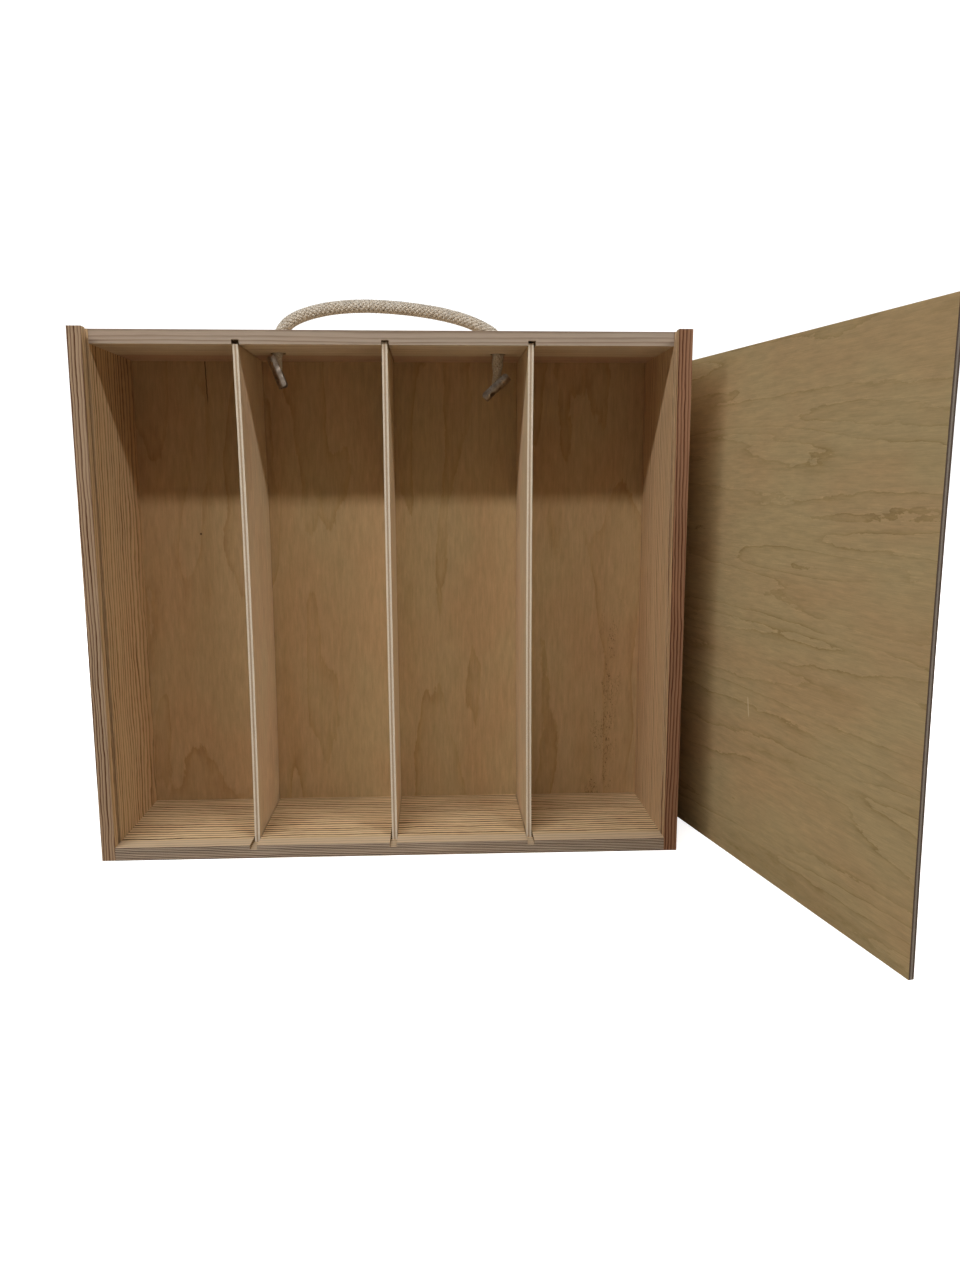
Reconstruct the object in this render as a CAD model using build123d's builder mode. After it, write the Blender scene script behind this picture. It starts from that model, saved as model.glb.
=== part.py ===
"""Wooden crate for four bottles: sliding plywood lid, loose dividers and a rope handle held by two steel toggles.

Frame: +X to the right, +Y from the open front to the back, +Z up.
The origin is the middle of the crate's underside. The lid is off, and stands on the floor to the right.
"""

from build123d import *
from math import cos, radians, sin, tan
import os

# ---- Driving dimensions, in millimetres and degrees ----

crate_width = 394
crate_depth = 104
crate_height = 350
board_thickness = 9

back_thickness = 4
back_rebate_width = 5  # how far the back panel's rebate reaches into a side board
back_side_gap = 0.3

lid_thickness = 3.2
lid_height = 339
lid_bow = 1.6  # how far the middle of the standing lid bulges towards the crate
lid_slack = 1  # side play of the lid in its two grooves
lid_groove_front = 7  # from the side boards' front edge to the groove
lid_groove_width = 5
lid_groove_depth = 4.5
lid_foot = (272.0, -233.5)  # the standing lid's near lower corner, on the floor
lid_turn = 13.0  # the standing lid's turn out of the crate's depth direction
top_board_setback = 12.5  # the top board starts behind the lid's groove

# Each divider stands where its dadoes are, leans within their play and bows a little sideways.
bottom_dado_places = {"left": -95, "centre": 0.2, "right": 95.2}
top_dado_places = {"left": -96, "centre": -0.3, "right": 94.8}
divider_leans = {"left": (0.1, -0.3), "centre": (0.4, -0.4), "right": (-0.1, -0.4)}  # foot, head
divider_bows = {"left": 1.2, "centre": -0.4, "right": -0.7}
divider_heights = {"left": 335.4, "centre": 337.2, "right": 336.7}
divider_thickness = 3.6
divider_setback = 14.5
divider_back_gap = 0.5
dado_width = 4.8
dado_depth = 3

rope_diameter = 8
rope_hole_diameter = 10.5
rope_hole_spacing = 151
rope_place_y = 5
rope_tip_diameter = 6
rope_tip_length = 13
# The rope's way from the left toggle over the board to the right toggle, as (x, z).
rope_route = [
    (-76.0, 328.8),
    (-76.0, 343.5),
    (-75.2, 353.6),
    (-67.4, 362.4),
    (-54.4, 368.0),
    (-35.5, 371.8),
    (-14.0, 372.9),
    (9.0, 371.6),
    (31.0, 368.9),
    (50.5, 364.6),
    (65.0, 358.9),
    (74.2, 353.2),
    (76.3, 342.3),
    (73.9, 319.4),
]
arc_share = 0.45  # how much of its shorter run an arc takes at each corner

toggle_length = 22
toggle_radius = 4
toggle_wall = 0.7
toggle_lip_height = 2.5  # of the channel's straight walls above its round bottom
toggle_corner_radius = 2
toggle_slot_length = 4.6
toggle_slot_width = 3.2
toggle_slot_place = 5.4  # from the toggle's middle towards its lower end
toggle_tilts = {"left": 111, "right": 42}  # turn of each toggle about +Y's opposite, from lying along +X

brad_head_diameter = 2.6
brad_head_thickness = 0.8
brad_shank_diameter = 1.4
side_brad_length = 25
back_brad_length = 18
top_brad_places_y = (-30, 5, 40)
bottom_brad_places_y = (-42, -2, 38)
back_brad_places_x = (-160, -50, 50, 160)
back_brad_places_z = (60, 175, 290)

# ---- Dimensions that follow ----

half_width = crate_width / 2
inner_half_width = half_width - board_thickness
front_y = -crate_depth / 2
rear_y = crate_depth / 2
back_face_y = rear_y - back_thickness
top_underside = crate_height - board_thickness
top_front_y = front_y + top_board_setback
board_middle = board_thickness / 2


def export(part, name):
    """Label a finished piece and write it under its node's name."""
    part.label = name
    export_step(part, f"parts/{name}.step")


os.makedirs("parts", exist_ok=True)

# ---- Brads: thin nails with small heads, driven flush ----


def brads(face, places, length):
    """Separate brads whose heads lie in a plane, pointing against its normal."""
    with BuildPart() as group:
        with BuildSketch(face):
            with Locations(*places):
                Circle(brad_head_diameter / 2)
        extrude(amount=-brad_head_thickness)
        with BuildSketch(face):
            with Locations(*places):
                Circle(brad_shank_diameter / 2)
        extrude(amount=-length)
    return group.part


left_face = Plane((-half_width, 0, 0), x_dir=(0, 1, 0), z_dir=(-1, 0, 0))
right_face = Plane((half_width, 0, 0), x_dir=(0, 1, 0), z_dir=(1, 0, 0))
rear_face = Plane((0, rear_y, 0), x_dir=(1, 0, 0), z_dir=(0, 1, 0))
up_on_left = left_face.y_dir.Z  # +1 or -1: the way each plane's own Y axis points
up_on_right = right_face.y_dir.Z
up_on_rear = rear_face.y_dir.Z
top_brad_z = crate_height - board_middle
bottom_brad_z = board_middle
rebate_middle = inner_half_width + back_rebate_width / 2

brad_groups = {}
for side, face, up in (("left", left_face, up_on_left), ("right", right_face, up_on_right)):
    top_row = [(y, up * top_brad_z) for y in top_brad_places_y]
    bottom_row = [(y, up * bottom_brad_z) for y in bottom_brad_places_y]
    brad_groups[f"{side}_top_brads"] = brads(face, top_row, side_brad_length)
    brad_groups[f"{side}_bottom_brads"] = brads(face, bottom_row, side_brad_length)
for name, height in (("back_top_brads", top_brad_z), ("back_bottom_brads", bottom_brad_z)):
    row = [(x, up_on_rear * height) for x in back_brad_places_x]
    brad_groups[name] = brads(rear_face, row, back_brad_length)
for name, x in (("back_left_brads", -rebate_middle), ("back_right_brads", rebate_middle)):
    row = [(x, up_on_rear * z) for z in back_brad_places_z]
    brad_groups[name] = brads(rear_face, row, back_brad_length)


def brad_holes(*names):
    """Take the shapes of these brads out of the board that is being built."""
    for name in names:
        add(brad_groups[name], mode=Mode.SUBTRACT)


# ---- Side boards: upright pine, grooved for the lid and rebated for the back ----


def side_board(side, outer_x, inner_x):
    """One side board, between its outer and inner faces."""
    into_board = 1 if outer_x > inner_x else -1
    groove_middle_x = inner_x + into_board * lid_groove_depth / 2
    groove_middle_y = front_y + lid_groove_front + lid_groove_width / 2
    rebate_middle_x = inner_x + into_board * back_rebate_width / 2
    with BuildPart() as board:
        with BuildSketch():
            with Locations(((outer_x + inner_x) / 2, 0)):
                Rectangle(board_thickness, crate_depth)
            with Locations((groove_middle_x, groove_middle_y)):
                Rectangle(lid_groove_depth, lid_groove_width, mode=Mode.SUBTRACT)
            with Locations((rebate_middle_x, rear_y - back_thickness / 2)):
                Rectangle(back_rebate_width, back_thickness, mode=Mode.SUBTRACT)
        extrude(amount=crate_height)
        brad_holes(f"{side}_top_brads", f"{side}_bottom_brads", f"back_{side}_brads")
    return board.part


# ---- Top and bottom boards: pine, with a dado for each divider ----


def dadoes(places, level, depth_y, middle_y):
    """Cut the dividers' dadoes upwards from a level in the board that is being built."""
    with BuildSketch(Plane.XY.offset(level)) as outlines:
        with Locations(*[(x, middle_y) for x in places.values()]):
            Rectangle(dado_width, depth_y)
    extrude(outlines.sketch, amount=dado_depth, mode=Mode.SUBTRACT)


top_depth = back_face_y - top_front_y
top_middle_y = (back_face_y + top_front_y) / 2
with BuildPart() as top_board:
    with BuildSketch(Plane.XY.offset(top_underside)):
        with Locations((0, top_middle_y)):
            Rectangle(2 * inner_half_width, top_depth)
        with Locations((-rope_hole_spacing / 2, rope_place_y), (rope_hole_spacing / 2, rope_place_y)):
            Circle(rope_hole_diameter / 2, mode=Mode.SUBTRACT)
    extrude(amount=board_thickness)
    dadoes(top_dado_places, top_underside, top_depth, top_middle_y)
    brad_holes("left_top_brads", "right_top_brads", "back_top_brads")

bottom_depth = back_face_y - front_y
bottom_middle_y = (back_face_y + front_y) / 2
with BuildPart() as bottom_board:
    with BuildSketch():
        with Locations((0, bottom_middle_y)):
            Rectangle(2 * inner_half_width, bottom_depth)
    extrude(amount=board_thickness)
    dadoes(bottom_dado_places, board_thickness - dado_depth, bottom_depth, bottom_middle_y)
    brad_holes("left_bottom_brads", "right_bottom_brads", "back_bottom_brads")

# ---- Back panel: plywood, let into the side boards' rebates ----

back_width = 2 * (inner_half_width + back_rebate_width - back_side_gap)
with BuildPart() as back_panel:
    with BuildSketch():
        with Locations((0, rear_y - back_thickness / 2)):
            Rectangle(back_width, back_thickness)
    extrude(amount=crate_height)
    brad_holes("back_top_brads", "back_bottom_brads", "back_left_brads", "back_right_brads")

# ---- Dividers: loose plywood, standing in the bottom board's dadoes ----


def divider(foot_x, head_x, bow, height):
    """One divider, from the middles of its foot and its head, with play in its dadoes."""
    foot_z = board_thickness - dado_depth
    head_z = foot_z + height
    middle_x = (foot_x + head_x) / 2 + bow
    half = divider_thickness / 2
    with BuildPart() as sheet:
        with BuildSketch(Plane.XZ.offset(-front_y - divider_setback)):
            with BuildLine():
                ThreePointArc(
                    (foot_x - half, foot_z), (middle_x - half, (foot_z + head_z) / 2), (head_x - half, head_z)
                )
                Line((head_x - half, head_z), (head_x + half, head_z))
                ThreePointArc(
                    (head_x + half, head_z), (middle_x + half, (foot_z + head_z) / 2), (foot_x + half, foot_z)
                )
                Line((foot_x + half, foot_z), (foot_x - half, foot_z))
            make_face()
        extrude(amount=front_y + divider_setback - back_face_y + divider_back_gap)
    return sheet.part


# ---- Lid: plywood, slightly bowed, standing on its lower edge ----

lid_width = 2 * (inner_half_width + lid_groove_depth) - lid_slack
lid_along = Vector(-sin(radians(lid_turn)), cos(radians(lid_turn)), 0)
lid_across = Vector(cos(radians(lid_turn)), sin(radians(lid_turn)), 0)
lid_end = Plane((*lid_foot, 0), x_dir=lid_across, z_dir=-lid_along)
with BuildPart() as lid:
    with BuildSketch(lid_end):
        with BuildLine():
            ThreePointArc((0, 0), (-lid_bow, lid_height / 2), (0, lid_height))
            Line((0, lid_height), (lid_thickness, lid_height))
            ThreePointArc(
                (lid_thickness, lid_height),
                (lid_thickness - lid_bow, lid_height / 2),
                (lid_thickness, 0),
            )
            Line((lid_thickness, 0), (0, 0))
        make_face()
    extrude(amount=-lid_width)

# ---- Rope handle: one cord, up through both holes, with pinched tips in the toggles ----


def point_between(start, end, distance):
    """The point at a distance from start on the way to end."""
    return start + (end - start).normalized() * distance


def arc_radii(points):
    """The largest arc at each corner that leaves room for its neighbours' arcs."""
    radii = []
    for before, corner, after in zip(points, points[1:], points[2:]):
        arriving, leaving = corner - before, after - corner
        half_turn = radians(arriving.get_angle(leaving)) / 2
        radii.append(arc_share * min(arriving.length, leaving.length) / tan(half_turn))
    return radii


route = [Vector(x, rope_place_y, z) for x, z in rope_route]
left_pivot, right_pivot = route[0], route[-1]
left_tip_top = point_between(route[0], route[1], rope_tip_length)
right_tip_top = point_between(route[-1], route[-2], rope_tip_length)
tube_route = [left_tip_top, *route[1:-1], right_tip_top]
tube_radii = arc_radii(tube_route)
with BuildPart() as rope_handle:
    with BuildLine() as rope_line:
        FilletPolyline(*tube_route, radius=tube_radii)
    with BuildSketch(Plane(left_tip_top, z_dir=route[1] - route[0])):
        Circle(rope_diameter / 2)
    sweep(path=rope_line.wires()[0])
    tube_volume = rope_handle.part.volume
    for pivot, tip_top in ((left_pivot, left_tip_top), (right_pivot, right_tip_top)):
        with BuildSketch(Plane(pivot, z_dir=tip_top - pivot)):
            Circle(rope_tip_diameter / 2)
        extrude(amount=rope_tip_length)
        with Locations(pivot):
            Sphere(rope_tip_diameter / 2)
print("rope arc radii, mm:", [round(radius, 1) for radius in tube_radii])
rope_section = 3.14159 * rope_diameter**2 / 4
rope_length = rope_line.wires()[0].length
print(f"rope length between tips {rope_length:.1f} mm, with tips {rope_length + 2 * rope_tip_length:.1f} mm")
print(f"rope tube volume over section times length {tube_volume / (rope_section * rope_length):.4f}")

# ---- Toggles: steel channels with one round side, swinging on the rope's tips ----


def toggle(pivot, tilt):
    """One toggle, its open side up and its pierced slot towards its lower end."""
    along = Vector(cos(radians(tilt)), 0, sin(radians(tilt)))
    if tilt > 90:
        open_side = Vector(sin(radians(tilt)), 0, -cos(radians(tilt)))
    else:
        open_side = Vector(-sin(radians(tilt)), 0, cos(radians(tilt)))
    across = open_side.cross(along)
    section = Plane(pivot - along * toggle_length / 2, x_dir=across, z_dir=along)
    inner_radius = toggle_radius - toggle_wall
    with BuildPart() as channel:
        with BuildSketch(section):
            Circle(toggle_radius)
            with Locations((0, toggle_lip_height / 2)):
                Rectangle(2 * toggle_radius, toggle_lip_height)
            Circle(inner_radius, mode=Mode.SUBTRACT)
            with Locations((0, toggle_radius / 2)):
                Rectangle(2 * inner_radius, toggle_radius, mode=Mode.SUBTRACT)
        extrude(amount=toggle_length)
        fillet(channel.edges().filter_by(Axis.Y), toggle_corner_radius)
        slot_way = (Vector(0, -1, 0) - open_side).normalized()
        slot_place = pivot - along * toggle_slot_place
        with BuildSketch(Plane(slot_place, x_dir=along, z_dir=slot_way)):
            SlotOverall(toggle_slot_length, toggle_slot_width)
        extrude(amount=toggle_radius + 1, mode=Mode.SUBTRACT)
    return channel.part


# ---- The finished pieces ----

export(side_board("left", -half_width, -inner_half_width), "left_side_board")
export(side_board("right", half_width, inner_half_width), "right_side_board")
export(top_board.part, "top_board")
export(bottom_board.part, "bottom_board")
export(back_panel.part, "back_panel")
export(lid.part, "lid")
for name, (foot_lean, head_lean) in divider_leans.items():
    foot_x = bottom_dado_places[name] + foot_lean
    head_x = top_dado_places[name] + head_lean
    export(divider(foot_x, head_x, divider_bows[name], divider_heights[name]), f"divider_{name}")
export(rope_handle.part, "rope_handle")
export(toggle(left_pivot, toggle_tilts["left"]), "toggle_left")
export(toggle(right_pivot, toggle_tilts["right"]), "toggle_right")
for name, group in brad_groups.items():
    export(group, name)
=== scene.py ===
"""Looks of the four-bottle crate: camera, lights, braided rope and the materials of every piece."""
import math
import random

import bpy
from mathutils import Matrix, Vector


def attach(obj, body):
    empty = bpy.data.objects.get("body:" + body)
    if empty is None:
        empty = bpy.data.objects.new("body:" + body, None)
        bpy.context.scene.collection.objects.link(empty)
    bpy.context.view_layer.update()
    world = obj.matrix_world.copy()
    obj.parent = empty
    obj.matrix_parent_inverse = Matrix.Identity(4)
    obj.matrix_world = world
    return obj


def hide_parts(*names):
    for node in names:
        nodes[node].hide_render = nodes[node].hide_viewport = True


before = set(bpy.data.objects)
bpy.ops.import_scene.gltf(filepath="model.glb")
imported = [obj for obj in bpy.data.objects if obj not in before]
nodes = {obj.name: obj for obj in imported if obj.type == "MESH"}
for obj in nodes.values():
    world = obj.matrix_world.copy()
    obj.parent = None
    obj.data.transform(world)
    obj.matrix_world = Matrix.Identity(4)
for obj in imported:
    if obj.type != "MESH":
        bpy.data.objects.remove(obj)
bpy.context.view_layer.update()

MM = 0.001
X_AXIS, Y_AXIS, Z_AXIS = 0, 1, 2


def link(data, name):
    """A new object of this data, in the scene."""
    made = bpy.data.objects.new(name, data)
    bpy.context.scene.collection.objects.link(made)
    return made


# ---- Camera, fitted to the crate's straight edges in the photo ----

CAMERA_PLACE = (0.0312, -0.6793, 0.2519)
CAMERA_LENS = 26.85
CAMERA_SENSOR = 36.0
CAMERA_HEADING = -2.638
CAMERA_DIP = 9.236
CAMERA_ROLL = -0.1

camera_data = bpy.data.cameras.new("camera")
camera_data.sensor_width = CAMERA_SENSOR
camera_data.lens = CAMERA_LENS
camera_data.clip_start = 0.05
camera = link(camera_data, "camera")
heading = Matrix.Rotation(math.radians(CAMERA_HEADING), 4, "Z")
dip = Matrix.Rotation(math.radians(90 - CAMERA_DIP), 4, "X")
roll = Matrix.Rotation(math.radians(CAMERA_ROLL), 4, "Z")
camera.matrix_world = Matrix.Translation(CAMERA_PLACE) @ heading @ dip @ roll
bpy.context.scene.camera = camera
bpy.context.scene.view_settings.view_transform = "Standard"
bpy.context.scene.view_settings.look = "Medium High Contrast"


# ---- Rope: a cotton cord with a braided sheath ----

ROPE_ROUTE = [
    (-76.0, 328.8),
    (-76.0, 343.5),
    (-75.2, 353.6),
    (-67.4, 362.4),
    (-54.4, 368.0),
    (-35.5, 371.8),
    (-14.0, 372.9),
    (9.0, 371.6),
    (31.0, 368.9),
    (50.5, 364.6),
    (65.0, 358.9),
    (74.2, 353.2),
    (76.3, 342.3),
    (73.9, 319.4),
]
ROPE_Y = 5.0
CORE_RADIUS = 2.8 * MM
BRAID_RADIUS = 3.2 * MM
BRAID_WAVE = 0.36 * MM
BRAID_TURN = 0.235  # radians a millimetre
BRAID_STEP = 0.4  # millimetres between a yarn's rings
BRAID_SEED = 5
YARNS_EACH_WAY = 8
YARN_SIDES = 8
YARN_HALF_WIDTH = 0.98 * MM
YARN_HALF_HEIGHT = 0.44 * MM
YARN_START_PLAY = 0.05  # radians
YARN_SWELL_PLAY = 0.06

# The rope's thickness as a share, against its distance from a tip in millimetres.
BEYOND_TIP_SHARE = 0.3
TIP_SHARE = 0.62
TIP_ROUNDING = 2.0
NECK_SHARE = 0.74
NECK_END = 9.0
NECK_TAPER = 5.0
LOOSE_START = 26.0  # where the rope is out of its hole
LOOSE_TAPER = 8.0
LOOSE_SWELL = 0.13


def rope_curve():
    """The rope's core: one smooth spline on the route of its CAD solid."""
    data = bpy.data.curves.new("rope_spline", "CURVE")
    data.dimensions = "3D"
    data.resolution_u = 24
    spline = data.splines.new("NURBS")
    spline.points.add(len(ROPE_ROUTE) - 1)
    for point, (x, z) in zip(spline.points, ROPE_ROUTE):
        point.co = (x * MM, ROPE_Y * MM, z * MM, 1.0)
    spline.order_u = 3
    spline.use_endpoint_u = True
    return link(data, "rope_spline")


def spline_points(curve):
    """Points along a curve that has no bevel yet."""
    mesh = bpy.data.meshes.new_from_object(curve)
    found = [v.co.copy() for v in mesh.vertices]
    bpy.data.meshes.remove(mesh)
    return found


def even_steps(points, step):
    """Points a step apart along a line of points, and the line's length."""
    made, reached, due = [points[0].copy()], 0.0, step
    for a, b in zip(points, points[1:]):
        span = (b - a).length
        while span > 0 and due <= reached + span:
            made.append(a.lerp(b, (due - reached) / span))
            due += step
        reached += span
    return made, reached


def frames_along(points):
    """A tangent, a normal and a side vector at each point, without twist."""
    made = []
    last = len(points) - 1
    normal = Vector((0, 1, 0))
    for i in range(len(points)):
        tangent = (points[min(i + 1, last)] - points[max(i - 1, 0)]).normalized()
        normal = (normal - tangent * normal.dot(tangent)).normalized()
        made.append((tangent, normal, tangent.cross(normal)))
    return made


def tube_mesh(rings):
    """A closed tube through rings of equal numbers of points."""
    count = len(rings[0])
    end = (len(rings) - 1) * count
    vertices = [v for ring in rings for v in ring]
    faces = []
    for here in range(0, end, count):
        ahead = here + count
        for j in range(count):
            k = (j + 1) % count
            faces.append((here + j, here + k, ahead + k, ahead + j))
    faces.append(tuple(reversed(range(count))))
    faces.append(tuple(end + j for j in range(count)))
    return vertices, faces


def merged(name, parts):
    """One mesh object of several lists of vertices and faces, shaded smooth."""
    vertices, faces = [], []
    for some_vertices, some_faces in parts:
        base = len(vertices)
        vertices += some_vertices
        faces += [tuple(base + i for i in face) for face in some_faces]
    data = bpy.data.meshes.new(name)
    data.from_pydata([tuple(v) for v in vertices], [], faces)
    data.update()
    data.shade_smooth()
    return link(data, name)


def pinch(at, length):
    """How thin the rope is drawn, towards its tips in the toggles."""
    edge = min(at, length - at) / MM
    if edge < 0:
        return BEYOND_TIP_SHARE
    if edge < TIP_ROUNDING:
        return TIP_SHARE + (NECK_SHARE - TIP_SHARE) * math.sqrt(edge / TIP_ROUNDING)
    full = min(1.0, max(0.0, (edge - NECK_END) / NECK_TAPER))
    loose = min(1.0, max(0.0, (edge - LOOSE_START) / LOOSE_TAPER))
    return NECK_SHARE + (1.0 - NECK_SHARE) * full + LOOSE_SWELL * loose


def yarn_rings(stations, length, start, swell, way):
    """The rings of one yarn, which winds round the rope over and under the others."""
    rings = []
    for i, (point, (tangent, normal, side)) in enumerate(stations):
        along = i * BRAID_STEP
        thin = pinch(along * MM, length)
        angle = start + way * BRAID_TURN * along
        height = way * math.cos(YARNS_EACH_WAY * BRAID_TURN * along)
        radius = (BRAID_RADIUS + BRAID_WAVE * height) * thin
        out = normal * math.cos(angle) + side * math.sin(angle)
        around = (side * math.cos(angle) - normal * math.sin(angle)) * way
        lead = math.atan(BRAID_TURN * radius / MM)
        across = (around * math.cos(lead) - tangent * math.sin(lead)).normalized()
        centre = point + out * radius
        ring = []
        for k in range(YARN_SIDES):
            t = 2 * math.pi * k / YARN_SIDES
            reach = across * (math.cos(t) * YARN_HALF_WIDTH * swell * thin)
            ring.append(centre + reach + out * (math.sin(t) * YARN_HALF_HEIGHT * thin))
        rings.append(ring)
    return rings


rope_spline = rope_curve()
rope_line = spline_points(rope_spline)
rope_spline.data.bevel_depth = CORE_RADIUS
rope_spline.data.bevel_resolution = 4
rope_spline.data.use_fill_caps = True
rope_core = link(bpy.data.meshes.new_from_object(rope_spline), "rope_core")
bpy.data.objects.remove(rope_spline)

rope_steps, rope_length = even_steps(rope_line, BRAID_STEP * MM)
rope_stations = list(zip(rope_steps, frames_along(rope_steps)))
wobble = random.Random(BRAID_SEED)
yarn_parts = []
for way in (1, -1):
    for yarn in range(YARNS_EACH_WAY):
        play = wobble.uniform(-YARN_START_PLAY, YARN_START_PLAY)
        start = 2 * math.pi * yarn / YARNS_EACH_WAY + play
        swell = wobble.uniform(1 - YARN_SWELL_PLAY, 1 + YARN_SWELL_PLAY)
        yarn_parts.append(tube_mesh(yarn_rings(rope_stations, rope_length, start, swell, way)))
rope_braid = merged("rope_braid", yarn_parts)
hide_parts("rope_handle")
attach(rope_core, "handle")
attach(rope_braid, "handle")


# ---- Node helpers ----

GEOMETRY_NORMAL = 1  # output of the Geometry node
OBJECT_PLACE = 3  # output of the Texture Coordinate node
VALUE_RESULT = 1  # output of a Vector Math node that gives a number


def grey(value):
    return (value, value, value)


def unit(axis):
    """The unit vector along an axis."""
    return tuple(1.0 if i == axis else 0.0 for i in range(3))


def scaled_colour(colour, factors):
    """A colour with each channel times its factor, and at most 1."""
    return tuple(min(1.0, c * k) for c, k in zip(colour, factors))


class Graph:
    """A material's node tree, built from expressions whose values are numbers or sockets."""

    def __init__(self, name):
        self.material = bpy.data.materials.new(name)
        self.material.use_nodes = True
        self.tree = self.material.node_tree
        self.tree.nodes.clear()
        self.output = self.tree.nodes.new("ShaderNodeOutputMaterial")

    def fill(self, socket, value):
        """Links another socket to this one, or gives it a value."""
        if isinstance(value, bpy.types.NodeSocket):
            self.tree.links.new(value, socket)
        else:
            socket.default_value = value

    def put(self, kind, values, out=0, **settings):
        """A node with these input values or links; returns one of its outputs."""
        made = self.tree.nodes.new(kind)
        for name, value in settings.items():
            setattr(made, name, value)
        for key, value in values.items():
            self.fill(made.inputs[key], value)
        return made.outputs[out]

    def math(self, operation, a, b=0.0, c=0.0):
        return self.put("ShaderNodeMath", {0: a, 1: b, 2: c}, operation=operation)

    def add(self, a, b):
        return self.math("ADD", a, b)

    def sub(self, a, b):
        return self.math("SUBTRACT", a, b)

    def mul(self, a, b):
        return self.math("MULTIPLY", a, b)

    def off(self, value, centre=0.0):
        """How far a value is from a centre."""
        return self.math("ABSOLUTE", self.sub(value, centre))

    def centred(self, noise, size):
        """A noise as an offset to either side of zero."""
        return self.mul(self.sub(noise, 0.5), size)

    def vector(self, x, y, z):
        return self.put("ShaderNodeCombineXYZ", {0: x, 1: y, 2: z})

    def split(self, vector):
        """A vector's three numbers."""
        parts = self.tree.nodes.new("ShaderNodeSeparateXYZ")
        self.tree.links.new(vector, parts.inputs[0])
        return tuple(parts.outputs)

    def noise(self, vector, detail=2.0, rough=0.5, distort=0.0):
        values = {"Vector": vector, "Scale": 1.0, "Detail": detail, "Roughness": rough}
        return self.put("ShaderNodeTexNoise", {**values, "Distortion": distort})

    def stretched(self, spot, scales, shift=0.0, **settings):
        """Noise at two or three numbers with their own scales. A shift gives another pattern."""
        parts = [self.mul(value, scale) for value, scale in zip(spot, scales)]
        if len(parts) == 2:
            parts.append(shift)
        elif shift:
            parts[2] = self.add(parts[2], shift)
        return self.noise(self.vector(*parts), **settings)

    def remap(self, value, low, high, to_low=0.0, to_high=1.0):
        values = {0: value, 1: low, 2: high, 3: to_low, 4: to_high}
        return self.put("ShaderNodeMapRange", values)

    def ramp(self, value, stops):
        made = self.tree.nodes.new("ShaderNodeValToRGB")
        self.tree.links.new(value, made.inputs[0])
        elements = made.color_ramp.elements
        while len(elements) < len(stops):
            elements.new(0.5)
        for element, (place, colour) in zip(elements, stops):
            element.position = place
            element.color = (*colour, 1.0)
        return made.outputs[0]

    def mix(self, share, a, b, blend="MIX"):
        """Two colours mixed."""
        made = self.tree.nodes.new("ShaderNodeMix")
        made.data_type = "RGBA"
        made.blend_type = blend
        self.fill(made.inputs[0], share)
        for index, value in ((6, a), (7, b)):
            self.fill(made.inputs[index], (*value, 1.0) if isinstance(value, tuple) else value)
        return made.outputs[2]

    def tint(self, colour, factors):
        """A colour times another."""
        return self.mix(1.0, colour, factors, "MULTIPLY")

    def shade(self, colour, amount):
        """A colour made lighter or darker by a factor."""
        factors = self.put("ShaderNodeCombineColor", {0: amount, 1: amount, 2: amount})
        return self.tint(colour, factors)

    def bump(self, height, distance, strength):
        values = {"Height": height, "Distance": distance, "Strength": strength}
        return self.put("ShaderNodeBump", values)

    def surface(self, colour, roughness, normal, metallic=0.0, specular=0.3, sheen=0.0):
        """Ends the tree in a shader; returns the finished material."""
        shader = self.tree.nodes.new("ShaderNodeBsdfPrincipled")
        self.fill(shader.inputs["Base Color"], colour)
        self.fill(shader.inputs["Roughness"], roughness)
        self.fill(shader.inputs["Normal"], normal)
        shader.inputs["Metallic"].default_value = metallic
        shader.inputs["Specular IOR Level"].default_value = specular
        shader.inputs["Sheen Weight"].default_value = sheen
        self.tree.links.new(shader.outputs[0], self.output.inputs[0])
        return self.material

    def spot(self):
        """The point being shaded, in millimetres."""
        metres = self.put("ShaderNodeTexCoord", {}, out=OBJECT_PLACE)
        values = {0: metres, "Scale": 1000.0}
        return self.put("ShaderNodeVectorMath", values, operation="SCALE")

    def place(self):
        """The point being shaded, in millimetres, as three sockets."""
        return self.split(self.spot())

    def facing(self, axis):
        """How squarely the surface faces along an axis, from 0 to 1."""
        normal = self.put("ShaderNodeNewGeometry", {}, out=GEOMETRY_NORMAL)
        values = {0: normal, 1: axis}
        dot = self.put("ShaderNodeVectorMath", values, out=VALUE_RESULT, operation="DOT_PRODUCT")
        return self.math("ABSOLUTE", dot)


# ---- Pine boards ----

SIDE_FRONT_Y = -51.6  # just behind the front edges of the sides and the bottom
TOP_FRONT_Y = -39.1
RING_PROFILE = [
    (0.0, grey(0.0)),
    (0.42, grey(0.1)),
    (0.7, grey(0.8)),
    (0.86, grey(1.0)),
    (0.97, grey(0.05)),
]


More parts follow.
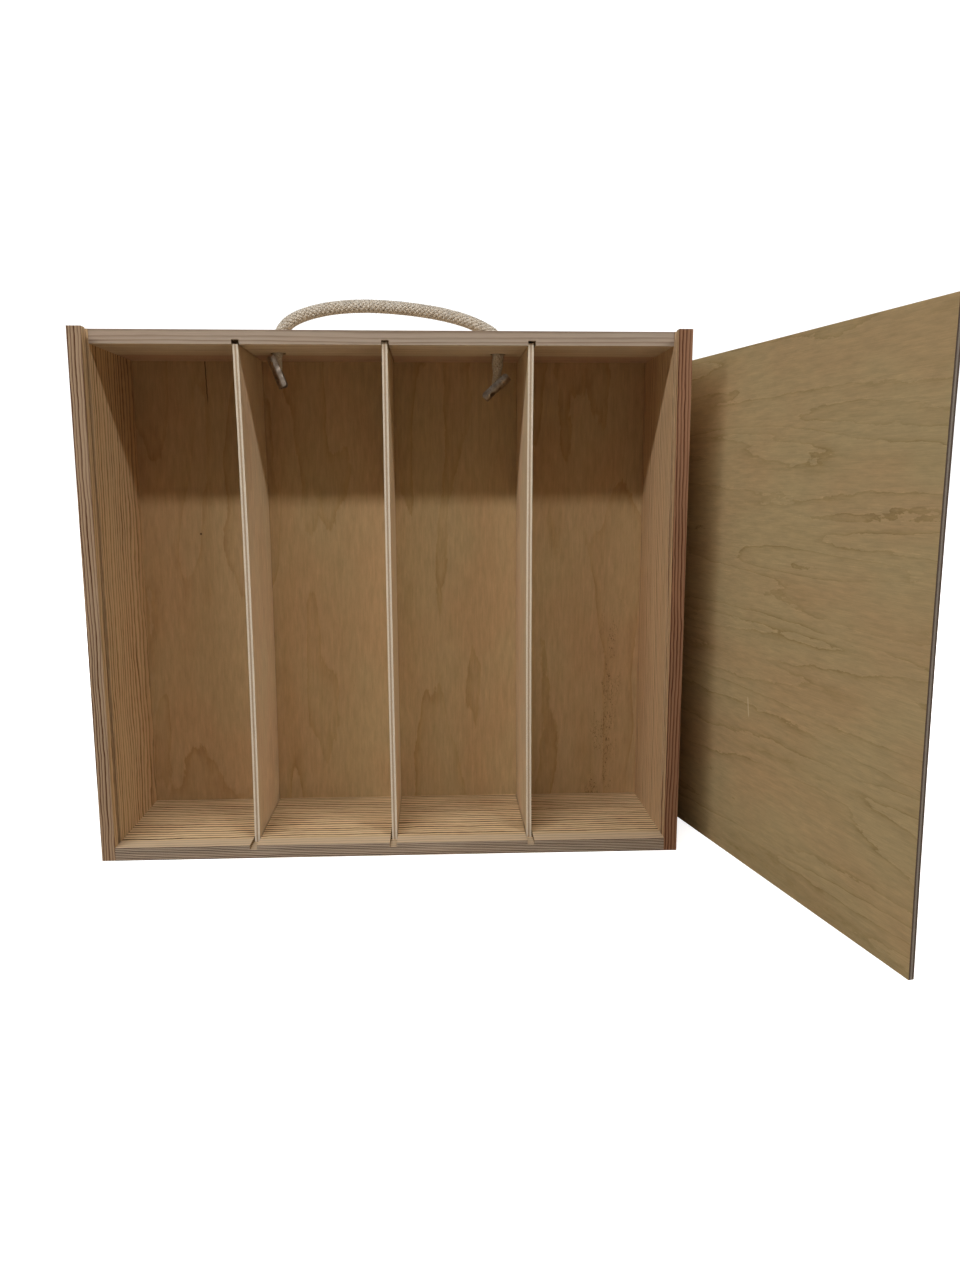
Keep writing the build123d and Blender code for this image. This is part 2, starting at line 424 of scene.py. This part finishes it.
def pine(name, grain, width, pith, pitch, light, dark, seed, wave, ripple, front,
         contrast=1.0, front_y=SIDE_FRONT_Y, front_late=0.6, extra=None):
    """Sawn pine, with late wood where the board cuts the log's rings.

    grain and width are axes of the board. pith is the rings' centre across it and pitch their
    distance, in millimetres. They wander by wave over the whole board and by ripple within it.
    Wood in front of front_y is tinted by front, with its late wood stronger by front_late.
    """
    g = Graph(name)
    xyz = g.place()
    spot = (xyz[grain], xyz[width], xyz[3 - grain - width])
    u, v, w = spot
    slow = g.stretched(spot, (0.006, 0.012, 0.012), seed, detail=1.5)
    middling = g.stretched(spot, (0.03, 0.06, 0.06), seed + 7, detail=3.0, rough=0.6)
    fine = g.stretched(spot, (0.12, 0.5, 0.5), seed + 3)
    across = g.sub(v, pith[0])
    down = g.sub(w, pith[1])
    away = g.math("SQRT", g.add(g.mul(across, across), g.mul(down, down)))
    for noise, size in ((slow, wave), (middling, ripple), (fine, 0.22)):
        away = g.add(away, g.centred(noise, size))
    uneven = g.noise(g.vector(g.mul(away, 0.11), seed, 0.0), detail=1.0)
    ring = g.add(g.mul(away, 1.0 / pitch), g.mul(uneven, 2.2))
    which = g.add(g.math("FLOOR", ring), seed)
    own = g.put("ShaderNodeTexWhiteNoise", {"W": which}, noise_dimensions="1D")
    broken = g.stretched((u, away), (0.02, 0.4), seed + 5, detail=3.0)
    late = g.ramp(g.math("FRACT", ring), RING_PROFILE)
    late = g.mul(late, g.remap(own, 0.0, 1.0, 0.5 * contrast, contrast))
    late = g.mul(late, g.remap(broken, 0.3, 0.65, 0.55, 1.0))
    at_front = g.remap(xyz[1], front_y - 0.2, front_y + 0.2, 1.0, 0.0)
    late = g.math("MINIMUM", g.mul(late, g.add(1.0, g.mul(at_front, front_late))), 1.0)
    streak = g.stretched(spot, (0.035, 2.2, 2.2), seed, detail=5.0, rough=0.7)
    patch = g.stretched(spot, (0.01, 0.03, 0.1), seed + 11)
    warm = scaled_colour(light, (1.02, 0.93, 0.88))
    warm_share = g.remap(patch, 0.35, 0.7, 0.0, 0.45)
    colour = g.mix(warm_share, g.mix(late, light, dark), g.mix(late, warm, dark))
    colour = g.shade(colour, g.remap(streak, 0.25, 0.75, 0.84, 1.1))
    pores = g.stretched(spot, (0.5, 4.0, 4.0), detail=3.0)
    end_grain = g.shade(colour, g.remap(pores, 0.3, 0.7, 0.5, 0.8))
    colour = g.mix(g.remap(g.facing(unit(grain)), 0.5, 0.8), colour, end_grain)
    colour = g.mix(at_front, colour, g.tint(colour, front))
    if extra:
        colour = extra(g, xyz, colour)
    normal = g.bump(g.sub(g.mul(streak, 0.5), g.mul(late, 0.35)), 0.3 * MM, 0.55)
    return g.surface(colour, g.remap(streak, 0.2, 0.8, 0.62, 0.86), normal, specular=0.28)


# ---- Plywood ----

FIGURE_PROFILE = [
    (0.0, grey(0.0)),
    (0.5, grey(0.06)),
    (0.86, grey(0.42)),
    (0.965, grey(1.0)),
    (0.99, grey(0.0)),
]
DARK_PLY = (0.3, 0.2, 0.12)
PALE_PLY = (0.45, 0.36, 0.27)


def plywood(name, grain, axes, light, dark, seed, plies, levels, spread, line,
            origin=(0, 0, 0), turned=0.0, bow=None, core=DARK_PLY, rim=PALE_PLY,
            stains=None, rag=0.32, torn=0.0):
    """Plywood, whose rotary-cut face shows the contour lines of a stretched noise.

    axes are those of its width, thickness and height, once moved to origin and turned about Z.
    plies is where its thickness starts and ends, measured from the bow's line if it has one: the
    offsets of its foot and head, its rise, and its lowest and highest point. levels, spread and
    line are the number, the scales and the strength of the contours, rag how ragged they are and
    torn how much fibre is lifted beside them. core and rim are the colours of the edge's plies.
    """
    g = Graph(name)
    values = {0: g.spot(), 1: tuple(-c for c in origin)}
    moved = g.put("ShaderNodeVectorMath", values, operation="ADD")
    if turned:
        values = {"Vector": moved, "Axis": unit(Z_AXIS), "Angle": -turned}
        moved = g.put("ShaderNodeVectorRotate", values)
    xyz = g.split(moved)
    width, thick, height = (xyz[axis] for axis in axes)
    if bow:
        foot, head, rise, low, high = bow
        share = g.remap(height, low, high)
        lean = g.math("MULTIPLY_ADD", share, head - foot, foot)
        arch = g.mul(g.mul(share, g.sub(1.0, share)), 4 * rise)
        thick = g.sub(thick, g.add(lean, arch))
    spot = (height, width) if grain == "height" else (width, height)
    slow = g.stretched(spot, spread, seed, detail=2.5, rough=0.45, distort=0.3)
    frayed = g.stretched(spot, (0.05, 0.16), seed + 4, detail=4.0, rough=0.65)
    part = g.math("FRACT", g.add(g.mul(slow, levels), g.mul(frayed, rag)))
    fade = g.remap(g.stretched(spot, (0.012, 0.03), seed + 9), 0.35, 0.65, 0.25, 1.0)
    contour = g.mul(g.ramp(part, FIGURE_PROFILE), g.mul(fade, line))
    streak = g.stretched(spot, (0.05, 1.7), seed + 2, detail=5.0, rough=0.75)
    silk = g.stretched(spot, (0.06, 0.3), seed + 6, detail=4.0, rough=0.65)
    patch = g.stretched(spot, (0.011, 0.02), seed + 8)
    fleck = g.stretched(spot, (0.3, 2.4), seed + 5, detail=1.0)
    fibre = g.stretched(spot, (0.1, 1.1), seed + 3, detail=4.0, rough=0.7)
    lifted = g.mul(g.remap(fibre, 0.55, 0.66), g.remap(part, 0.0, 0.3, torn, 0.0))
    pink = scaled_colour(light, (1.04, 0.93, 0.92))
    pink_share = g.remap(patch, 0.4, 0.62, 0.0, 0.6)
    face = g.mix(pink_share, g.mix(contour, light, dark), g.mix(contour, pink, dark))
    face = g.mix(lifted, face, scaled_colour(light, grey(1.45)))
    face = g.shade(face, g.remap(streak, 0.25, 0.75, 0.87, 1.1))
    face = g.shade(face, g.remap(silk, 0.3, 0.7, 0.9, 1.09))
    face = g.shade(face, g.remap(fleck, 0.74, 0.82, 1.0, 0.72))
    if stains:
        face = stains(g, xyz, face)
    within = (width, thick, height)
    ragged = g.stretched(within, (0.9, 1.5, 0.5), detail=3.0)
    layer = g.add(g.remap(thick, *plies), g.centred(ragged, 0.1))
    edge = g.ramp(layer, [(0.0, rim), (0.29, rim), (0.36, core), (0.62, core), (0.69, rim)])
    edge_streak = g.stretched(within, (1.6, 3.0, 1.6), detail=4.0, rough=0.7)
    edge = g.shade(edge, g.remap(edge_streak, 0.25, 0.75, 0.72, 1.2))
    through = (math.cos(turned), math.sin(turned), 0.0) if turned else unit(axes[1])
    flat = g.remap(g.facing(through), 0.55, 0.8)
    colour = g.mix(flat, edge, face)
    relief = g.sub(g.mul(streak, 0.5), g.mul(contour, 0.3))
    relief = g.mix(flat, g.mul(edge_streak, 1.4), relief)
    normal = g.bump(relief, 0.25 * MM, 0.45)
    return g.surface(colour, g.remap(streak, 0.2, 0.8, 0.58, 0.78), normal)


# ---- Cotton and steel ----

COTTON_SHADOW = (0.34, 0.26, 0.18)
COTTON_LIGHT = (0.98, 0.94, 0.88)
COTTON_SOILED = (0.74, 0.62, 0.48)
STEEL_BRIGHT = (0.55, 0.49, 0.44)
STEEL_TARNISHED = (0.24, 0.195, 0.16)


def cotton():
    """Soft white cotton yarn, a little soiled in places."""
    g = Graph("cotton_cord")
    xyz = g.place()
    fuzz = g.stretched(xyz, (1.5, 1.5, 1.5), detail=7.0, rough=0.8)
    patch = g.stretched(xyz, (0.12, 0.3, 0.12), detail=3.0)
    colour = g.mix(g.remap(fuzz, 0.38, 0.62), COTTON_SHADOW, COTTON_LIGHT)
    colour = g.mix(g.remap(patch, 0.35, 0.7, 0.0, 0.3), colour, COTTON_SOILED)
    rough = g.remap(fuzz, 0.2, 0.8, 0.8, 0.97)
    return g.surface(colour, rough, g.bump(fuzz, 0.5 * MM, 1.0), specular=0.15, sheen=0.3)


def steel(name, angle):
    """Tarnished steel, brushed along a line at this angle from X towards Z."""
    g = Graph(name)
    x, y, z = g.place()
    ax, az = math.cos(angle), math.sin(angle)
    lengthwise = g.add(g.mul(x, ax), g.mul(z, az))
    crosswise = g.add(g.mul(x, -az), g.mul(z, ax))
    brushed = g.stretched((lengthwise, crosswise, y), (0.25, 6.0, 6.0), detail=3.0)
    tarnish = g.stretched((x, y, z), (0.25, 0.25, 0.25), detail=4.0, rough=0.6)
    colour = g.mix(g.remap(tarnish, 0.35, 0.7), STEEL_BRIGHT, STEEL_TARNISHED)
    colour = g.shade(colour, g.remap(brushed, 0.3, 0.7, 0.8, 1.15))
    rough = g.add(g.remap(tarnish, 0.3, 0.7, 0.2, 0.38), g.mul(brushed, 0.08))
    normal = g.bump(brushed, 0.08 * MM, 0.5)
    return g.surface(colour, rough, normal, metallic=1.0, specular=0.5)


# ---- Marks that belong to one piece, and painted shade in the side boards' lid grooves ----


def clean_strip(g, xyz, colour):
    """The bottom board's front strip, lighter where the lid used to cover it."""
    ragged = g.centred(g.noise(g.vector(g.mul(xyz[0], 0.06), 1.0, 2.0), detail=3.0), 3.0)
    share = g.remap(g.add(xyz[1], ragged), -40.0, -38.4, 1.0, 0.0)
    upward = g.remap(g.facing(unit(Z_AXIS)), 0.5, 0.8)
    return g.mix(g.mul(g.mul(share, upward), 0.75), colour, (0.62, 0.5, 0.37))


def red_heart(g, xyz, colour):
    """The top board's redder wood towards its back edge."""
    wander = g.centred(g.noise(g.vector(g.mul(xyz[0], 0.02), 4.0, 1.0)), 6.0)
    share = g.remap(g.add(xyz[1], wander), 11.0, 18.0)
    return g.mix(g.mul(share, 0.7), colour, g.tint(colour, (0.8, 0.64, 0.6)))


def groove_painted_shade(g, xyz, colour):
    """Painted shade: darker wood inside a side board's lid groove, where the recess lies in shadow.
    """
    inside = g.remap(g.off(xyz[0]), 188.1, 188.8)
    in_groove = g.remap(g.off(xyz[1], -42.5), 2.4, 2.7, 1.0, 0.0)
    # The dark colour here is painted shadow for the groove's inside.
    return g.mix(g.mul(g.mul(inside, in_groove), 0.45), colour, (0.2, 0.085, 0.04))


def back_marks(g, xyz, colour):
    """The back's paler middle; on its inner face, specks low on the right, a crack and a dot."""
    x, z = xyz[0], xyz[2]
    inner_face = g.remap(xyz[1], 49.5, 50.5, 1.0, 0.0)
    pale = g.remap(g.off(x, 30.0), 80.0, 150.0, 1.0, 0.0)
    colour = g.mix(g.mul(pale, 0.75), colour, g.tint(colour, (1.06, 1.12, 1.14)))
    column_x = g.add(g.mul(z, 0.07), 158.0)
    column = g.remap(g.off(x, column_x), 2.0, 14.0, 1.0, 0.0)
    near = g.mul(column, g.remap(z, 100.0, 190.0, 1.0, 0.0))
    speck = g.noise(g.vector(g.mul(x, 0.8), 3.0, g.mul(z, 0.33)), detail=6.0, rough=0.85)
    cluster = g.noise(g.vector(g.mul(x, 0.13), 6.0, g.mul(z, 0.04)), detail=3.0)
    clumped = g.remap(g.mul(near, g.remap(cluster, 0.45, 0.6)), 0.05, 0.45)
    share = g.mul(g.mul(g.remap(speck, 0.525, 0.6), clumped), inner_face)
    colour = g.mix(g.mul(share, 0.85), colour, (0.12, 0.07, 0.03))
    jagged = g.centred(g.noise(g.vector(0.0, 0.0, g.mul(z, 0.3)), detail=3.0), 1.6)
    crack_x = g.math("MULTIPLY_ADD", z, -0.027, -126.4)
    off_crack = g.math("ABSOLUTE", g.add(g.sub(x, crack_x), jagged))
    crack = g.mul(g.remap(off_crack, 0.15, 0.5, 1.0, 0.0), g.remap(z, 308.0, 318.0))
    from_dot = g.vector(g.add(x, 144.3), 0.0, g.sub(z, 215.9))
    off_dot = g.put("ShaderNodeVectorMath", {0: from_dot}, out=VALUE_RESULT, operation="LENGTH")
    dot = g.remap(off_dot, 0.5, 1.0, 1.0, 0.0)
    marks = g.mul(g.math("MAXIMUM", crack, dot), inner_face)
    return g.mix(g.mul(marks, 0.85), colour, (0.03, 0.015, 0.01))


def lid_scratch(g, xyz, colour):
    """One short pale scratch on the lid."""
    line_y = g.math("MULTIPLY_ADD", xyz[2], 0.15, 143.8)
    across = g.remap(g.off(xyz[1], line_y), 0.2, 0.7, 1.0, 0.0)
    along = g.remap(g.off(xyz[2], 108.0), 5.0, 7.0, 1.0, 0.0)
    return g.mix(g.mul(g.mul(across, along), 0.7), colour, (0.85, 0.78, 0.62))


# ---- Giving the pieces their materials ----

BOARD_WEAR = 0.4 * MM
PLY_WEAR = 0.2 * MM
STEEL_WEAR = 0.12 * MM
WEAR_ANGLE = 50.0

# Of each divider: where its foot and its head are, its bow's rise, its top and its seed.
DIVIDERS = {
    "left": (-94.9, -96.3, 1.2, 341.4, 12.0),
    "centre": (0.6, -0.7, -0.4, 343.2, 17.0),
    "right": (95.1, 94.4, -0.7, 342.7, 23.0),
}
DIVIDER_FOOT_Z = 6.0
DIVIDER_HALF = 1.8
TOGGLE_ANGLES = {"left": 111.0, "right": 42.0}


def dress(name, material, wear=BOARD_WEAR):
    """Gives a CAD node a material and softens its edges."""
    piece = nodes[name]
    piece.data.materials.clear()
    piece.data.materials.append(material)
    if wear:
        softened = piece.modifiers.new("worn_edges", "BEVEL")
        softened.width = wear
        softened.segments = 2
        softened.limit_method = "ANGLE"
        softened.angle_limit = math.radians(WEAR_ANGLE)
        softened.harden_normals = False


dress("bottom_board", pine(
    "pine_bottom", X_AXIS, Y_AXIS, pith=(-292.0, -956.0), pitch=1.15, light=(0.78, 0.61, 0.4),
    dark=(0.1, 0.045, 0.02), seed=3.0, wave=3.0, ripple=1.1, contrast=1.5,
    front=(0.74, 0.8, 1.0), extra=clean_strip))
dress("top_board", pine(
    "pine_top", X_AXIS, Y_AXIS, pith=(-130.0, 240.0), pitch=2.3, light=(0.82, 0.72, 0.58),
    dark=(0.25, 0.15, 0.085), seed=8.0, wave=2.5, ripple=0.6, front=(0.6, 0.57, 0.59),
    front_y=TOP_FRONT_Y, front_late=-0.2, extra=red_heart))
# Both side boards get painted shade inside their lid grooves.
dress("left_side_board", pine(
    "pine_left", Z_AXIS, Y_AXIS, pith=(120.0, -560.0), pitch=1.75, light=(0.74, 0.56, 0.355),
    dark=(0.2, 0.095, 0.045), seed=21.0, wave=8.0, ripple=2.6, contrast=0.95,
    front=(0.64, 0.63, 0.7), extra=groove_painted_shade))
dress("right_side_board", pine(
    "pine_right", Z_AXIS, Y_AXIS, pith=(-200.0, 520.0), pitch=1.9, light=(0.76, 0.58, 0.385),
    dark=(0.2, 0.095, 0.05), seed=34.0, wave=6.0, ripple=2.2, contrast=0.95,
    front=(0.5, 0.38, 0.36), extra=groove_painted_shade))

dress("back_panel", plywood(
    "ply_back", "height", (X_AXIS, Y_AXIS, Z_AXIS), light=(0.56, 0.415, 0.245),
    dark=(0.38, 0.23, 0.1), seed=2.0, plies=(48.0, 52.0), levels=6.0, spread=(0.0035, 0.016),
    line=0.55, stains=back_marks))
for side, (foot, head, rise, top, seed) in DIVIDERS.items():
    dress(f"divider_{side}", plywood(
        f"ply_divider_{side}", "height", (Y_AXIS, X_AXIS, Z_AXIS), light=(0.74, 0.61, 0.44),
        dark=(0.56, 0.4, 0.24), seed=seed, plies=(-DIVIDER_HALF, DIVIDER_HALF), levels=4.0,
        spread=(0.004, 0.02), line=0.35, bow=(foot, head, rise, DIVIDER_FOOT_Z, top),
        core=(0.5, 0.38, 0.28), rim=(0.8, 0.72, 0.61)), wear=PLY_WEAR)
dress("lid", plywood(
    "ply_lid", "width", (Y_AXIS, X_AXIS, Z_AXIS), light=(0.58, 0.475, 0.29),
    dark=(0.38, 0.28, 0.14), seed=41.0, plies=(0.0, 3.2), levels=11.0, spread=(0.0018, 0.022),
    line=0.75, origin=(272.0, -233.5, 0.0), turned=math.radians(13.0),
    bow=(0.0, 0.0, -1.6, 0.0, 339.0), core=(0.36, 0.32, 0.29), rim=(0.15, 0.115, 0.095),
    stains=lid_scratch, rag=0.75, torn=0.35), wear=PLY_WEAR)

cotton_material = cotton()
rope_core.data.materials.append(cotton_material)
rope_braid.data.materials.append(cotton_material)
for side, tilt in TOGGLE_ANGLES.items():
    dress(f"toggle_{side}", steel(f"steel_toggle_{side}", math.radians(tilt)), wear=STEEL_WEAR)
brad_material = steel("steel_brads", 0.0)
for name in nodes:
    if name.endswith("_brads"):
        dress(name, brad_material, wear=0.0)


# ---- Floor and backdrop: white to the camera, dull to all other light ----

FLOOR_REACH = 40.0
FLOOR_DROP = 0.2 * MM
FLOOR_GLOW_PLACES = (300.0, 900.0)  # millimetres from the middle
FLOOR_GLOW = (0.72, 1.2)
FLOOR_SEEN = (0.82, 0.82, 0.82, 1)
FLOOR_DULL = (0.56, 0.48, 0.38, 1)
BACKDROP_DULL = (1.0, 0.8, 0.58, 1)
BACKDROP_DULL_POWER = 0.04
WHITE = (1, 1, 1, 1)


def floor_material():
    g = Graph("pale_floor")
    shader = g.tree.nodes.new("ShaderNodeBsdfPrincipled")
    shader.inputs["Base Color"].default_value = FLOOR_SEEN
    shader.inputs["Roughness"].default_value = 0.9
    shader.inputs["Specular IOR Level"].default_value = 0.1
    shader.inputs["Emission Color"].default_value = WHITE
    x, y, _ = g.place()
    away = g.math("SQRT", g.add(g.mul(x, x), g.mul(y, y)))
    glow = g.remap(away, *FLOOR_GLOW_PLACES, *FLOOR_GLOW)
    g.tree.links.new(glow, shader.inputs["Emission Strength"])
    dull = g.put("ShaderNodeBsdfDiffuse", {"Color": FLOOR_DULL})
    seen = g.put("ShaderNodeLightPath", {}, out="Is Camera Ray")
    both = g.put("ShaderNodeMixShader", {0: seen, 1: dull, 2: shader.outputs[0]})
    g.tree.links.new(both, g.output.inputs[0])
    return g.material


def stage_floor():
    data = bpy.data.meshes.new("floor")
    signs = ((-1, -1), (1, -1), (1, 1), (-1, 1))
    corners = [(x * FLOOR_REACH, y * FLOOR_REACH, 0) for x, y in signs]
    data.from_pydata(corners, [], [(0, 1, 2, 3)])
    data.materials.append(floor_material())
    floor = link(data, "floor")
    floor.location.z = -FLOOR_DROP


def backdrop():
    world = bpy.data.worlds.new("studio")
    bpy.context.scene.world = world
    world.use_nodes = True
    sky = world.node_tree
    sky.nodes.clear()
    output = sky.nodes.new("ShaderNodeOutputWorld")
    both = sky.nodes.new("ShaderNodeMixShader")
    path = sky.nodes.new("ShaderNodeLightPath")
    sky.links.new(path.outputs["Is Camera Ray"], both.inputs[0])
    for index, colour, power in ((1, BACKDROP_DULL, BACKDROP_DULL_POWER), (2, WHITE, 1.0)):
        background = sky.nodes.new("ShaderNodeBackground")
        background.inputs[0].default_value = colour
        background.inputs[1].default_value = power
        sky.links.new(background.outputs[0], both.inputs[index])
    sky.links.new(both.outputs[0], output.inputs[0])


stage_floor()
backdrop()


# ---- Lights ----

KEY_Y = -1.353
KEY_Z = 1.849
KEY_TARGET_Z = 0.2
KEY_WIDE = 0.11
KEY_COLOUR = (0.95, 0.95, 0.93)


def lamp(name, place, target, long, wide, power, colour):
    """A rectangular area light, long along X, that looks at a point."""
    data = bpy.data.lights.new(name, "AREA")
    data.shape = "RECTANGLE"
    data.size = long
    data.size_y = wide
    data.energy = power
    data.color = colour
    made = link(data, name)
    made.location = place
    made.rotation_mode = "QUATERNION"
    made.rotation_quaternion = (Vector(target) - Vector(place)).to_track_quat("-Z", "Y")
    return made


def key(name, x, long, power):
    """One stretch of the long narrow key light, above and in front of the crate."""
    lamp(name, (x, KEY_Y, KEY_Z), (x, 0.0, KEY_TARGET_Z), long, KEY_WIDE, power, KEY_COLOUR)


key("key_left", x=-1.15, long=2.2, power=33.5)
gloss = lamp("gloss", (-0.3, -1.3, 0.55), (0.0, 0.0, 0.3), 0.6, 0.6, 0.9, (1.0, 0.97, 0.93))
gloss.visible_diffuse = False
lamp("rear", (0.5, 1.7, 1.2), (0.0, 0.0, 0.2), 1.4, 1.0, 13.0, (1.0, 0.95, 0.88))
key("key_right", x=1.2, long=1.2, power=19.0)
